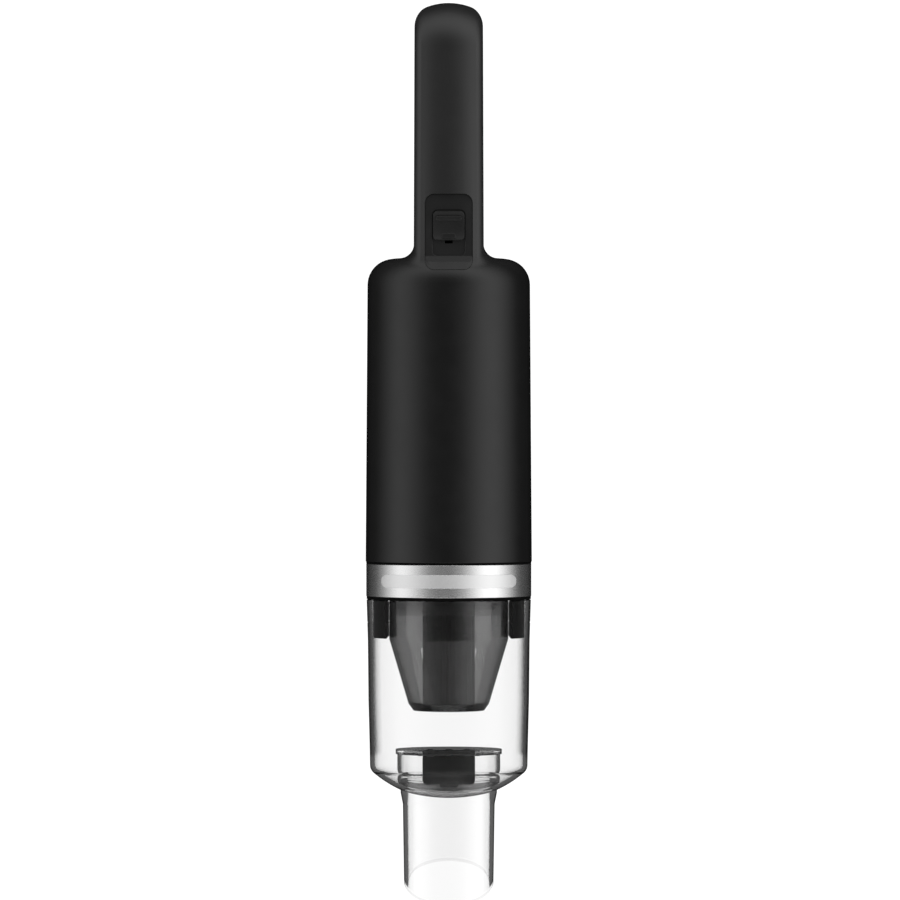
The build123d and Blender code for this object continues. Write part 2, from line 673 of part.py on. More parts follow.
def filter_end_cap():
    """Disc that closes the pleats, flush with the bottom of the cup, hollowed for the pull."""
    cap = disc(PLEAT_OUTER, FILTER_END, FILTER_END + END_CAP_THICKNESS)
    return cap - disc(PULL_RECESS_RADIUS, FILTER_END - 1, FILTER_END + PULL_RECESS_DEPTH)


def filter_pull():
    """Bar across the hollow of the end cap, to pull the filter out by."""
    bar = block(-FAR, FAR, FILTER_END, FILTER_END + PULL_RECESS_DEPTH - 0.5, -1.6, 1.6)
    return bar & disc(PULL_RECESS_RADIUS, FILTER_END - 1, FILTER_END + PULL_RECESS_DEPTH)


# Bulkhead and release button

def bulkhead():
    """Wall between the dust side and the fan, with an intake grille and two side lugs."""
    wall = disc(FLANGE_RADIUS, FLANGE_LOW, FLANGE_HIGH) + disc(PLUG_RADIUS, FLANGE_HIGH, PLUG_TOP)
    wall = wall - disc(INTAKE_RADIUS, -5, 10)
    for i in range(-2, 3):
        bar = block(-INTAKE_RADIUS, INTAKE_RADIUS, FLANGE_LOW + 1, FLANGE_LOW + 2.5,
                    GRILLE_PITCH * i - GRILLE_BAR / 2, GRILLE_PITCH * i + GRILLE_BAR / 2)
        wall = wall + (bar & disc(INTAKE_RADIUS + 1, -5, 10))
        wall = wall + (bar.rotate(Axis.Y, 90) & disc(INTAKE_RADIUS + 1, -5, 10))
    lug = block(LUG_INNER, FAR, LUG_END, FLANGE_LOW, -LUG_HALF_HEIGHT, LUG_HALF_HEIGHT)
    lug = lug & disc(LUG_RADIUS, LUG_END, FLANGE_LOW)
    lug = lug - block(0, FAR, -10.9, -10.5, -FAR, FAR) + (
        lug & block(LUG_INNER + 0.5, LUG_RADIUS - 0.8, -11.5, -10, -FAR, FAR))
    wall = wall + lug + lug.rotate(Axis.Y, 180)
    return wall - ring(FAR, PLUG_RADIUS - SEAL_DEPTH, SEAL_LOW, SEAL_HIGH) - arm_slot()


def arm_slot():
    """Room for the release button's arm, over its whole travel."""
    half_width = ARM_HALF_WIDTH + 0.4
    return block(-half_width, half_width, -5, 10, -PLUG_RADIUS - 0.5, ARM_FRONT + 2.2)


def body_seal():
    seal = ring(PLUG_RADIUS, PLUG_RADIUS - SEAL_DEPTH + 0.05, SEAL_LOW + GAP, SEAL_HIGH - GAP)
    return seal - arm_slot()


def release_button():
    """Button with a flange inside the casing and an arm that reaches past the bulkhead."""
    button = pad(BUTTON_HALF_WIDTH, BUTTON_LOW, BUTTON_HIGH, 4, BUTTON_FACE, ARM_BACK)
    for i in range(3):
        button = button - block(-5, 5, 27.6 + 2.2 * i, 28.2 + 2.2 * i, -FAR, BUTTON_FACE + 0.4)
    button = button + pad(8.4, 22.4, 37.6, 3, -36.1, ARM_BACK)
    button = button + block(-ARM_HALF_WIDTH, ARM_HALF_WIDTH, -8, 26, ARM_BACK, ARM_FRONT)
    return button + block(-ARM_HALF_WIDTH, ARM_HALF_WIDTH, -8, -3.5, -36.9, ARM_FRONT)


def release_spring():
    """Coil between the button's arm and the shelf on the front motor holder."""
    length = SPRING_SEAT - ARM_FRONT - 2 * SPRING_WIRE
    turns = 3.5
    path = Helix(length / turns, length, SPRING_RADIUS - SPRING_WIRE)
    start = Plane(origin=path @ 0, z_dir=path % 0)
    coil = sweep(start * Circle(SPRING_WIRE), path=path, is_frenet=True)
    return Pos(0, SPRING_STATION, ARM_FRONT + SPRING_WIRE) * coil


# Fan and motor

def fan_shroud():
    plate = ring(SHROUD_RADIUS, 12, PLUG_TOP, PLUG_TOP + SHROUD_WALL)
    return plate + ring(SHROUD_RADIUS, SHROUD_RADIUS - SHROUD_WALL, PLUG_TOP, SHROUD_END)


def impeller():
    wheel = disc(5, IMPELLER_LOW, IMPELLER_HIGH)
    wheel = wheel + disc(IMPELLER_RADIUS, IMPELLER_HIGH - 1.6, IMPELLER_HIGH)
    blade = block(3, IMPELLER_RADIUS - 2, IMPELLER_LOW, IMPELLER_HIGH - 1, 3,
                  3 + BLADE_THICKNESS)
    wheel = wheel + turned_copies(blade, fanned(BLADE_COUNT, 360 / BLADE_COUNT))
    return wheel - disc(SHAFT_RADIUS + 0.02, 0, 30)


def motor_shaft():
    return disc(SHAFT_RADIUS, SHAFT_LOW, SHAFT_HIGH)


def motor_can():
    can = ring(CAN_RADIUS, CAN_RADIUS - CAN_WALL, CAN_LOW, CAN_HIGH)
    can = can + disc(CAN_RADIUS, CAN_LOW, CAN_LOW + CAN_WALL)
    can = can + disc(BEARING_RADIUS + 1.6, CAN_LOW - 3, CAN_LOW)
    return can - disc(BEARING_RADIUS + 0.05, 0, CAN_LOW + 3)


def end_bell():
    bell = disc(CAN_RADIUS, CAN_HIGH, CAN_HIGH + 3)
    bell = bell + disc(BEARING_RADIUS + 1.6, CAN_HIGH + 3, CAN_HIGH + 6.4)
    bell = bell - disc(BEARING_RADIUS + 0.05, CAN_HIGH + 2, 90)
    return bell - disc(2.4, CAN_HIGH - 1, 90)


def bearings():
    front = ring(BEARING_RADIUS, BEARING_BORE, CAN_LOW - 2.8, CAN_LOW + 1.4)
    rear = ring(BEARING_RADIUS, BEARING_BORE, CAN_HIGH + 2.1, CAN_HIGH + 6.3)
    return separate([front, rear])


def magnets():
    tube = ring(CAN_RADIUS - CAN_WALL - GAP, CORE_RADIUS + 0.7, 31, 59)
    return tube - block(-4, 4, 0, 90, -FAR, FAR)


def rotor_core():
    core = ring(CORE_RADIUS, SHAFT_RADIUS + 0.02, CORE_LOW, CORE_HIGH)
    slot = block(9, FAR, 0, 90, -1, 1) + block(6, 11, 0, 90, -2.2, 2.2)
    return core - turned_copies(slot, fanned(ROTOR_SLOTS, 360 / ROTOR_SLOTS))


def rotor_windings():
    front = ring(11, 3, CORE_LOW - 3.4, CORE_LOW)
    rear = ring(11, 3, CORE_HIGH, CORE_HIGH + 2.6)
    return separate([front, rear])


def commutator():
    drum = ring(4, SHAFT_RADIUS + 0.02, CORE_HIGH + 3, CAN_HIGH - 0.6)
    slot = block(3.5, 5, 0, 90, -0.2, 0.2)
    return drum - turned_copies(slot, fanned(COMMUTATOR_SLOTS, 360 / COMMUTATOR_SLOTS))


def brushes():
    brush = block(4.3, 9, 61.4, 64.4, -2, 2)
    return separate([brush, brush.rotate(Axis.Y, 180)])


def brush_holders():
    holder = block(9, 15, 60.6, CAN_HIGH, -3, 3)
    return separate([holder, holder.rotate(Axis.Y, 180)])


def motor_bushes():
    rings = [ring(CRADLE_BORE - 0.05, CAN_RADIUS + 0.05, low, low + CRADLE_THICKNESS)
             for low in (FRONT_CRADLE, REAR_CRADLE)]
    return separate(rings)


def motor_holder(low):
    """Spoked plate that holds the motor in the casing."""
    high = low + CRADLE_THICKNESS
    plate = ring(CRADLE_RADIUS, CRADLE_BORE, low, high)
    windows = ring(34.4, 22.5, low - 1, high + 1)
    spoke = block(-4, 4, low - 2, high + 2, -FAR, 0)
    return plate - (windows - turned_copies(spoke, (0, 120, 240)))


def front_holder():
    """Front motor holder with the shelf the release spring pushes against."""
    shelf = block(-4, 4, 26, FRONT_CRADLE + 1, SPRING_SEAT, SPRING_SEAT + 1.6)
    return motor_holder(FRONT_CRADLE) + shelf


def exhaust_filter():
    """Foam behind the exhaust slots."""
    foam = ring(37.2, 35.2, FRONT_CRADLE + CRADLE_THICKNESS + 0.2, REAR_CRADLE - 0.2)
    return foam & block(-26, 26, 0, 90, -FAR, -20)


# Battery, circuit board and socket

def cell_spot(angle):
    return (CELL_CIRCLE * cos(radians(angle)), CELL_CIRCLE * sin(radians(angle)))


def battery_cells():
    cells = []
    for angle in CELL_ANGLES:
        cell = along_axis(Pos(*cell_spot(angle)) * Circle(CELL_RADIUS), CELL_LOW, CELL_HIGH)
        cap = along_axis(Pos(*cell_spot(angle)) * Circle(3.2), CELL_HIGH, CELL_HIGH + 1.2)
        cells.append(cell + cap)
    return separate(cells)


def battery_holders():
    outline = Circle(HOLDER_RADIUS)
    for angle in CELL_ANGLES:
        outline = outline - Pos(*cell_spot(angle)) * Circle(CELL_RADIUS + 0.05)
        outline = outline - Pos(*[2.6 * v for v in cell_spot(angle + 60)]) * Circle(4.5)
    for side in (1, -1):
        outline = outline - Pos(side * WIRE_SIDE, WIRE_HEIGHT) * Circle(WIRE_RADIUS + 0.8)
    lower = along_axis(outline, CELL_LOW, CELL_LOW + 6)
    upper = along_axis(outline, CELL_HIGH - 6, CELL_HIGH)
    return separate([lower, upper])


def battery_links():
    plate = Rot(0, 0, 90) * RegularPolygon(14, 3)
    upper = along_axis(plate, CELL_HIGH + 1.25, CELL_HIGH + 1.65)
    lower = along_axis(plate, CELL_LOW - 0.5, CELL_LOW - 0.1)
    return separate([upper, lower])


def circuit_board():
    board = block(-BOARD_HALF_WIDTH, BOARD_HALF_WIDTH, BOARD_LOW, BOARD_HIGH, BOARD_BACK,
                  BOARD_FRONT)
    for station in BOARD_SCREWS:
        board = board - upright(1.4, 0, station, 0, FAR)
    return board


def board_parts():
    """Chips, capacitors and a coil on the board."""
    parts = [block(-4, 4, 214, 222, BOARD_FRONT, BOARD_FRONT + 1.6)]
    for i in range(3):
        parts.append(upright(2.5, -6 + 6 * i, 205, BOARD_FRONT, BOARD_FRONT + 8))
    for i in range(6):
        parts.append(block(-9, -6, 226 + 4 * i, 228 + 4 * i, BOARD_FRONT, BOARD_FRONT + 1.2))
    parts.append(block(1, 8, 228, 236, BOARD_FRONT, BOARD_FRONT + 4))
    return separate(parts)


def board_screws():
    screws = []
    for station in BOARD_SCREWS:
        screw = upright(1.2, 0, station, GRIP_BACK + WALL + 0.4, BOARD_FRONT)
        screws.append(screw + upright(2.3, 0, station, BOARD_FRONT, BOARD_FRONT + 1.6))
    return separate(screws)


def wires():
    """Two leads from the motor past the battery to the board."""
    leads = []
    for side in (1, -1):
        path = Polyline((side * WIRE_SIDE, CAN_HIGH + 6, WIRE_HEIGHT), (side * WIRE_SIDE, 158,
                        WIRE_HEIGHT), (side * WIRE_SIDE, 168, BOARD_FRONT + WIRE_RADIUS + GAP),
                        (side * WIRE_SIDE, 172, BOARD_FRONT + WIRE_RADIUS + GAP))
        start = Plane(origin=path @ 0, z_dir=path % 0)
        leads.append(sweep(start * Circle(WIRE_RADIUS), path=path, transition=Transition.ROUND))
    return separate(leads)


def charge_socket():
    outer = Pos(0, SOCKET_HEIGHT) * RectangleRounded(SOCKET_WIDTH, SOCKET_DEPTH, 1.6)
    inner = Pos(0, SOCKET_HEIGHT) * RectangleRounded(SOCKET_WIDTH - 0.8, SOCKET_DEPTH - 0.8, 1.2)
    tongue = block(-3, 3, SOCKET_LOW, SOCKET_HIGH - 1, SOCKET_HEIGHT - 0.35, SOCKET_HEIGHT + 0.35)
    tube = along_axis(outer, SOCKET_LOW, SOCKET_HIGH)
    return tube - along_axis(inner, SOCKET_LOW + 1, SOCKET_HIGH + 1) + tongue


def charge_light():
    return along_axis(Pos(0, LIGHT_HEIGHT) * Circle(LIGHT_RADIUS), LIGHT_LOW, HANDLE_END)


def build():
    casing = casing_form()
    skin = casing_skin(casing)
    return {
        "front_shell": front_shell(skin), "rear_shell": rear_shell(skin),
        "grip_cover": grip_cover(skin), "bar_cover": bar_cover(skin),
        "grip_liner": grip_liner(), "foot_pad": foot_pad(casing), "casing_screws": casing_screws(),
        "trim_band": trim_band(), "name_plate": name_plate(),
        "switch_bezel": switch_bezel(casing), "power_slider": power_slider(),
        "slide_switch": slide_switch(),
        "dust_cup": dust_cup(), "inlet_duct": inlet_duct(), "flap_valve": flap_valve(),
        "flap_pin": flap_pin(), "nozzle": nozzle(),
        "filter_cup": filter_cup(), "filter_seal": filter_seal(), "filter_cap": filter_cap(),
        "pleated_filter": pleated_filter(), "filter_end_cap": filter_end_cap(),
        "filter_pull": filter_pull(),
        "bulkhead": bulkhead(), "body_seal": body_seal(), "release_button": release_button(),
        "release_spring": release_spring(), "fan_shroud": fan_shroud(), "impeller": impeller(),
        "motor_shaft": motor_shaft(), "motor_can": motor_can(), "end_bell": end_bell(),
        "bearings": bearings(), "magnets": magnets(), "rotor_core": rotor_core(),
        "rotor_windings": rotor_windings(), "commutator": commutator(), "brushes": brushes(),
        "brush_holders": brush_holders(), "motor_bushes": motor_bushes(),
        "front_holder": front_holder(), "rear_holder": motor_holder(REAR_CRADLE),
        "exhaust_filter": exhaust_filter(), "battery_cells": battery_cells(),
        "battery_holders": battery_holders(), "battery_links": battery_links(),
        "circuit_board": circuit_board(), "board_parts": board_parts(),
        "board_screws": board_screws(), "wires": wires(), "charge_socket": charge_socket(),
        "charge_light": charge_light(),
    }


os.makedirs("parts", exist_ok=True)
for name, piece in build().items():
    placed = piece.moved(ROW_SHIFT)
    placed.label = name
    export_step(placed, "parts/" + name + ".step")
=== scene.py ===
import bpy
import json
import math
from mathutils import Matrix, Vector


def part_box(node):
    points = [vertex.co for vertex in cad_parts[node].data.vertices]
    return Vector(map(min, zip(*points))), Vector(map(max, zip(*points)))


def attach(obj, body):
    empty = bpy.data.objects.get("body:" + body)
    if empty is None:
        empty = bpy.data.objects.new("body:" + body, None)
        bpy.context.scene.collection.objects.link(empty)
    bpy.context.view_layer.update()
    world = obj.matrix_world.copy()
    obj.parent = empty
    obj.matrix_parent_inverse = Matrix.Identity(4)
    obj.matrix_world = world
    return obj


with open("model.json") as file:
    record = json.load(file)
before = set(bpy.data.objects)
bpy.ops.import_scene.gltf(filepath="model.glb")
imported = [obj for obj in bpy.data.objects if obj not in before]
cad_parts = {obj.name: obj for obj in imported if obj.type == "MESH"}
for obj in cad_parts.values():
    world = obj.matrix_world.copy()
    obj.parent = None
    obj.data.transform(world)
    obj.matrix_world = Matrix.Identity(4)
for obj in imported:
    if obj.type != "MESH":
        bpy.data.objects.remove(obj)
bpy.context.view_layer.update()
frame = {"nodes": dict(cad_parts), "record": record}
nodes = frame["nodes"]

# All lengths are in metres. The vacuum lies along Y with its thumb switch facing up. Above and
# below along the vacuum mean towards the handle, +Y, and towards the nozzle, -Y.

# Camera: straight over the vacuum, looking square on at its front.
CAMERA_HEIGHT = 2.47
CAMERA_ACROSS = 0.0006
CAMERA_ALONG = 0.0023
LENS_MM = 200
SENSOR_MM = 36
SIGHT_DISTANCE = 50

camera_data = bpy.data.cameras.new("camera")
camera_data.lens = LENS_MM
camera_data.sensor_width = SENSOR_MM
camera_data.clip_end = SIGHT_DISTANCE
camera = bpy.data.objects.new("camera", camera_data)
camera.location = (CAMERA_ACROSS, CAMERA_ALONG, CAMERA_HEIGHT)
bpy.context.scene.collection.objects.link(camera)
bpy.context.scene.camera = camera


# Node helpers

EDGE_SOFTNESS = 0.00035    # radius of the rounding that edges catch light with
EDGE_SAMPLES = 6


class Shader:
    """A node material with short calls for the nodes that most finishes share."""

    def __init__(self, name):
        self.material = bpy.data.materials.new(name)
        self.material.use_nodes = True
        self.tree = self.material.node_tree
        self.surface = self.tree.nodes["Principled BSDF"]
        self.coordinates = self.tree.nodes.new("ShaderNodeTexCoord").outputs["Object"]

    def set(self, **values):
        """Sets sockets of the surface; a colour is given as three numbers."""
        for key, value in values.items():
            socket = self.surface.inputs[key.replace("_", " ")]
            socket.default_value = (*value, 1) if isinstance(value, tuple) else value
        return self

    def link(self, start, end):
        self.tree.links.new(start, end)

    def stretched(self, scale):
        """Object coordinates scaled apart along X, Y and Z."""
        mapping = self.tree.nodes.new("ShaderNodeMapping")
        mapping.inputs["Scale"].default_value = scale
        self.link(self.coordinates, mapping.inputs["Vector"])
        return mapping.outputs["Vector"]

    def along(self):
        """Place along the vacuum's axis."""
        split = self.tree.nodes.new("ShaderNodeSeparateXYZ")
        self.link(self.coordinates, split.inputs[0])
        return split.outputs["Y"]

    def noise(self, scale, detail, vector=None):
        node = self.tree.nodes.new("ShaderNodeTexNoise")
        node.inputs["Scale"].default_value = scale
        node.inputs["Detail"].default_value = detail
        self.link(vector or self.coordinates, node.inputs["Vector"])
        return node.outputs["Fac"]

    def ramp(self, value, low, high, start=0.3, end=0.7):
        """Grey or coloured ramp between two values of a factor."""
        node = self.tree.nodes.new("ShaderNodeValToRGB")
        for element, place, colour in zip(node.color_ramp.elements, (start, end), (low, high)):
            element.position = place
            grey = (colour,) * 3 if isinstance(colour, (int, float)) else colour
            element.color = (*grey, 1)
        self.link(value, node.inputs["Fac"])
        return node.outputs["Color"]

    def colour(self, value, low, high, **places):
        self.link(self.ramp(value, low, high, **places), self.surface.inputs["Base Color"])
        return self

    def roughness(self, value, low, high):
        self.link(self.ramp(value, low, high), self.surface.inputs["Roughness"])
        return self

    def bump(self, height, distance, strength):
        """Fine relief, over edges that catch the light as if slightly rounded."""
        rounded = self.tree.nodes.new("ShaderNodeBevel")
        rounded.samples = EDGE_SAMPLES
        rounded.inputs["Radius"].default_value = EDGE_SOFTNESS
        node = self.tree.nodes.new("ShaderNodeBump")
        self.link(rounded.outputs["Normal"], node.inputs["Normal"])
        node.inputs["Strength"].default_value = strength
        node.inputs["Distance"].default_value = distance
        self.link(height, node.inputs["Height"])
        self.link(node.outputs["Normal"], self.surface.inputs["Normal"])
        return self


# Kinds of finish. A noise scale is in cycles per metre.

COLOUR_DRIFT = 45
GLOSS_DRIFT = 90
HAZE_DRIFT = 30
HAZE_SPREAD = 0.02
SPARK_GRAIN = 2600
SPARK_DEPTH = 0.00002
SPARK_STRENGTH = 0.5
EVEN_GRAIN = (900, 900, 900)
STREAK_DEPTH = 0.000006
STREAK_STRENGTH = 0.4
PLASTIC_IOR = 1.49
CLEAR_SPECULAR = 0.3
WALL_BLEND = 0.5


def moulded(name, dark, light, smooth, rough, grain=SPARK_GRAIN, depth=SPARK_DEPTH):
    """Moulded plastic: fine spark grain, slow drift of colour and gloss."""
    shader = Shader(name)
    shader.colour(shader.noise(COLOUR_DRIFT, detail=3), dark, light)
    shader.roughness(shader.noise(GLOSS_DRIFT, detail=4), smooth, rough)
    return shader.bump(shader.noise(grain, detail=1), depth, SPARK_STRENGTH)


def clear(name, tint, edge_shade, rough=0.02, start=0.6, end=0.8):
    """Clear plastic whose tint turns dark where the wall is seen edge on: painted shade."""
    shader = Shader(name)
    shader.set(Transmission_Weight=1.0, IOR=PLASTIC_IOR, Specular_IOR_Level=CLEAR_SPECULAR)
    facing = shader.tree.nodes.new("ShaderNodeLayerWeight")
    facing.inputs["Blend"].default_value = WALL_BLEND
    # Painted shade: the tint ramps down to the edge-on level as the wall turns away
    shader.colour(facing.outputs["Facing"], tint, edge_shade, start=start, end=end)
    return shader.roughness(shader.noise(HAZE_DRIFT, detail=3), rough, rough + HAZE_SPREAD)


def metal(name, dark, light, smooth, rough, grain=EVEN_GRAIN, depth=STREAK_DEPTH):
    """Metal with streaks, drawn out along the directions in which the grain is coarse."""
    shader = Shader(name)
    shader.set(Metallic=1.0)
    streaks = shader.noise(1, detail=3, vector=shader.stretched(grain))
    shader.colour(streaks, dark, light)
    shader.roughness(streaks, smooth, rough)
    return shader.bump(streaks, depth, STREAK_STRENGTH)


# Changes of a finish along the part

def station_mask(shader, low, high):
    """Factor that goes from 0 to 1 between two places along Y."""
    spread = shader.tree.nodes.new("ShaderNodeMapRange")
    spread.interpolation_type = "SMOOTHSTEP"
    spread.inputs["From Min"].default_value = low
    spread.inputs["From Max"].default_value = high
    shader.link(shader.along(), spread.inputs["Value"])
    return spread.outputs["Result"]


def stripe(shader, middle, half_width):
    """Factor that is 1 in a narrow belt across Y and 0 elsewhere."""
    compare = shader.tree.nodes.new("ShaderNodeMath")
    compare.operation = "COMPARE"
    compare.inputs[1].default_value = middle
    compare.inputs[2].default_value = half_width
    shader.link(shader.along(), compare.inputs[0])
    return compare.outputs["Value"]


def shaded(shader, mask, level):
    """Turns the base colour towards a grey level where the mask is 1."""
    socket = shader.surface.inputs["Base Color"]
    mix = shader.tree.nodes.new("ShaderNodeMix")
    mix.data_type = "RGBA"
    shader.link(mask, mix.inputs["Factor"])
    shader.link(socket.links[0].from_socket, mix.inputs["A"])
    mix.inputs["B"].default_value = (level, level, level, 1)
    shader.link(mix.outputs["Result"], socket)


MOUTH_SLOPE = 0.716        # the mouth's plane leans this far towards +Y for each metre down
MOUTH_TOP = 0.0553         # height of the mouth's farthest tip
RIM_START = 0.0002         # the wall turns from faint to full between these distances along Y
RIM_END = 0.0007           # from the mouth's plane
RIM_ALPHA = 0.12


def faded_rim(shader, box):
    """Thins the cut rim of the slanted mouth, which hardly shows in clear plastic."""
    tilt = shader.tree.nodes.new("ShaderNodeVectorMath")
    tilt.operation = "DOT_PRODUCT"
    tilt.inputs[1].default_value = (0, 1, MOUTH_SLOPE)
    shader.link(shader.coordinates, tilt.inputs[0])
    plane = box[0][1] + MOUTH_SLOPE * MOUTH_TOP
    spread = shader.tree.nodes.new("ShaderNodeMapRange")
    spread.inputs["From Min"].default_value = plane + RIM_START
    spread.inputs["From Max"].default_value = plane + RIM_END
    spread.inputs["To Min"].default_value = RIM_ALPHA
    shader.link(tilt.outputs["Value"], spread.inputs["Value"])
    shader.link(spread.outputs["Result"], shader.surface.inputs["Alpha"])


# Black plastics; the casing has a slightly greyer coat from the switch plate up

COAT_BEFORE = 0.004        # the coat sets in from this far below the plate's lower end
COAT_AFTER = 0.012         # and is full this far above it
CASING_LEVEL = 0.0008
COAT_LEVEL = 0.016

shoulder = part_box("switch_bezel")[0][1]
shell = moulded("shell_black", CASING_LEVEL, CASING_LEVEL, smooth=0.28, rough=0.34)
coat = station_mask(shell, shoulder - COAT_BEFORE, shoulder + COAT_AFTER)
shell.colour(coat, CASING_LEVEL, COAT_LEVEL, start=0.0, end=1.0)
dark = moulded("inner_black", 0.001, 0.002, smooth=0.45, rough=0.55)
dark.set(Specular_IOR_Level=0.15)
switch = moulded("switch_black", 0.003, 0.005, smooth=0.36, rough=0.44)
rubber = moulded("soft_black", (0.012,) * 3, (0.02,) * 3, smooth=0.6, rough=0.75,
                 grain=1500, depth=0.00004)
flap = moulded("flap_black", (0.005,) * 3, (0.009,) * 3, smooth=0.3, rough=0.4,
               grain=900, depth=0.00003)

# Clear cup: its wall darkens edge on with painted shade, and its domed bottom goes without it

CUP_TINT = 0.95
CUP_IOR = 1.2              # less than the plastic's, so that what is inside stays readable
DOME_DROP = 0.002          # the dome's clear part starts this far below the inlet's top
DOME_BLEND = 0.003

inlet_low, inlet_high = (corner[1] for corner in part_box("inlet_duct"))
clear_cup = clear("clear_cup", CUP_TINT, 0.12, rough=0.02, start=0.54, end=0.8)
dome = inlet_high - DOME_DROP
shaded(clear_cup, station_mask(clear_cup, dome, dome - DOME_BLEND), CUP_TINT)
clear_cup.set(IOR=CUP_IOR)

# Clear inlet: painted shade dims its throat below the flap and darkens a belt round its flange

THROAT_RISE = 0.0055
THROAT_BLEND = 0.0015
THROAT_SHADE = 0.22
FLANGE_DROP = 0.0024
FLANGE_HALF = 0.0006
FLANGE_SHADE = 0.02

clear_duct = clear("clear_duct", 0.96, 0.1, rough=0.03, start=0.5, end=0.8)
throat = inlet_low + THROAT_RISE
# Painted shade below the flap, darkening the throat
shaded(clear_duct, station_mask(clear_duct, throat, throat - THROAT_BLEND), THROAT_SHADE)
# Painted shade: a dark belt round the flange, where its clear wall is seen edge on
shaded(clear_duct, stripe(clear_duct, inlet_high - FLANGE_DROP, FLANGE_HALF), FLANGE_SHADE)

# Clear nozzle with a faint rim, and smoked filter cup, dark across its bottom

FILTER_FLOOR_RISE = 0.0008
FILTER_FLOOR_HALF = 0.0009
FILTER_FLOOR_LEVEL = 0.01

clear_nozzle = clear("clear_nozzle", 0.97, 0.03, rough=0.02, start=0.6, end=0.84)
faded_rim(clear_nozzle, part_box("nozzle"))
clear_nozzle.set(Specular_IOR_Level=0.1)
smoked = clear("smoked_cup", 0.38, 0.12, rough=0.04, start=0.6, end=0.9)
filter_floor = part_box("filter_cup")[0][1] + FILTER_FLOOR_RISE
shaded(smoked, stripe(smoked, filter_floor, FILTER_FLOOR_HALF), FILTER_FLOOR_LEVEL)

# The other finishes

steel = metal("plain_steel", 0.5, 0.58, smooth=0.25, rough=0.4)
band = metal("band_steel", 0.8, 0.86, smooth=0.2, rough=0.3,
             grain=(300, 7000, 300), depth=0.000002)
polished = metal("plate_steel", 0.86, 0.92, smooth=0.45, rough=0.55, grain=(2500, 2500, 2500))
copper = metal("copper_wire", (0.7, 0.32, 0.16), (0.78, 0.37, 0.2), smooth=0.3, rough=0.45,
               grain=(300, 300, 6000))
brass = metal("brass", (0.76, 0.56, 0.26), (0.83, 0.63, 0.3), smooth=0.25, rough=0.4)
pale = moulded("pale_plastic", (0.5, 0.5, 0.48), (0.58, 0.58, 0.56), smooth=0.4, rough=0.5)
cell = moulded("cell_wrap", (0.03, 0.16, 0.14), (0.04, 0.2, 0.17), smooth=0.25, rough=0.35)
board = moulded("board_green", (0.01, 0.09, 0.04), (0.02, 0.12, 0.05), smooth=0.3, rough=0.4)
wire = moulded("wire_red", (0.35, 0.02, 0.015), (0.42, 0.03, 0.02), smooth=0.4, rough=0.5)
paper = moulded("filter_paper", (0.025, 0.025, 0.024), (0.045, 0.045, 0.044),
                smooth=0.8, rough=0.9, grain=700, depth=0.0001)
foam = moulded("open_foam", (0.01,) * 3, (0.03,) * 3, smooth=0.9, rough=1.0,
               grain=500, depth=0.0003)
lens = clear("frosted_lens", 0.9, 0.6, rough=0.3)
silicone = moulded("clear_silicone", 0.3, 0.4, smooth=0.3, rough=0.4, grain=900, depth=0.000002)
silicone.set(Alpha=0.25)
# Finish of the rings in the gaps beside the trim band: near black, painted shade for those gaps
gap_shade = moulded("gap_shade_black", 0.0004, 0.0008, smooth=0.75, rough=0.85,
                 grain=1500, depth=0.00003)
gap_shade.set(Specular_IOR_Level=0.1)
magnet = moulded("ferrite", (0.03,) * 3, (0.05,) * 3, smooth=0.5, rough=0.7,
                 grain=900, depth=0.00005)

finishes = {
    "black_plastic": shell, "dark_plastic": dark, "switch_plastic": switch,
    "band_steel": band, "plate_steel": polished, "clear_plastic": clear_cup,
    "smoked_plastic": smoked, "soft_rubber": rubber, "flap_rubber": flap,
    "filter_paper": paper, "foam": foam, "steel": steel, "spring_steel": steel,
    "magnet": magnet, "copper": copper, "brass": brass, "carbon": dark, "fan_plastic": pale,
    "cell_wrap": cell, "holder_plastic": pale, "board_green": board, "chip_black": dark,
    "wire_red": wire, "lens": lens,
}
special = {"nozzle": clear_nozzle, "inlet_duct": clear_duct, "filter_seal": silicone,
           "filter_cap": silicone}
for part in frame["record"]["subparts"]:
    node = nodes[part["node"]]
    finish = special.get(part["node"], finishes[part["material_slot"]])
    for place in node.material_slots:
        place.material = finish.material


# Rings: near-black rings in the gaps above and below the trim band, painted shade that darkens
# those gaps, and a collar that carries the filter's core on up to the rim of its cup

# Ends of each shade ring along Y, from the band's edge; gaps at the collar's ends; inner and
# outer radius of each ring
UPPER_ENDS, UPPER_RADII = (0.0001, 0.0011), (0.03935, 0.0401)
LOWER_ENDS, LOWER_RADII = (-0.0015, -0.0002), (0.03965, 0.0399)
COLLAR_GAPS, COLLAR_RADII = (0.0001, 0.0003), (0.0118, 0.0127)
RING_STEPS = 192
LIP_SHARE = 0.3            # an outer lip's rounding as a share of the ring's thickness
CORNER_SHARE = 0.3         # how far the rounding's middle point is cut in, as a share of the lip


def ring(name, body, slot, finish, low, high, inner, outer):
    """Ring about the vacuum's axis with a rounded outer lip, between two places along Y."""
    middle = sum(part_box("trim_band")[end][2] for end in (0, 1)) / 2
    lip = (outer - inner) * LIP_SHARE
    corner = lip * CORNER_SHARE
    profile = [(inner, low), (outer - lip, low), (outer - corner, low + corner),
               (outer, low + lip), (outer, high - lip), (outer - corner, high - corner),
               (outer - lip, high), (inner, high)]
    points, faces = [], []
    for i in range(RING_STEPS):
        angle = 2 * math.pi * i / RING_STEPS
        for radius, place in profile:
            points.append((radius * math.cos(angle), place, middle + radius * math.sin(angle)))
        for j in range(len(profile)):
            here = i * len(profile)
            following = (i + 1) % RING_STEPS * len(profile)
            k = (j + 1) % len(profile)
            faces.append((here + j, here + k, following + k, following + j))
    mesh = bpy.data.meshes.new(name)
    mesh.from_pydata(points, [], faces)
    mesh.shade_smooth()
    mesh.materials.append(finish.material)
    piece = bpy.data.objects.new(name, mesh)
    bpy.context.scene.collection.objects.link(piece)
    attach(piece, body)


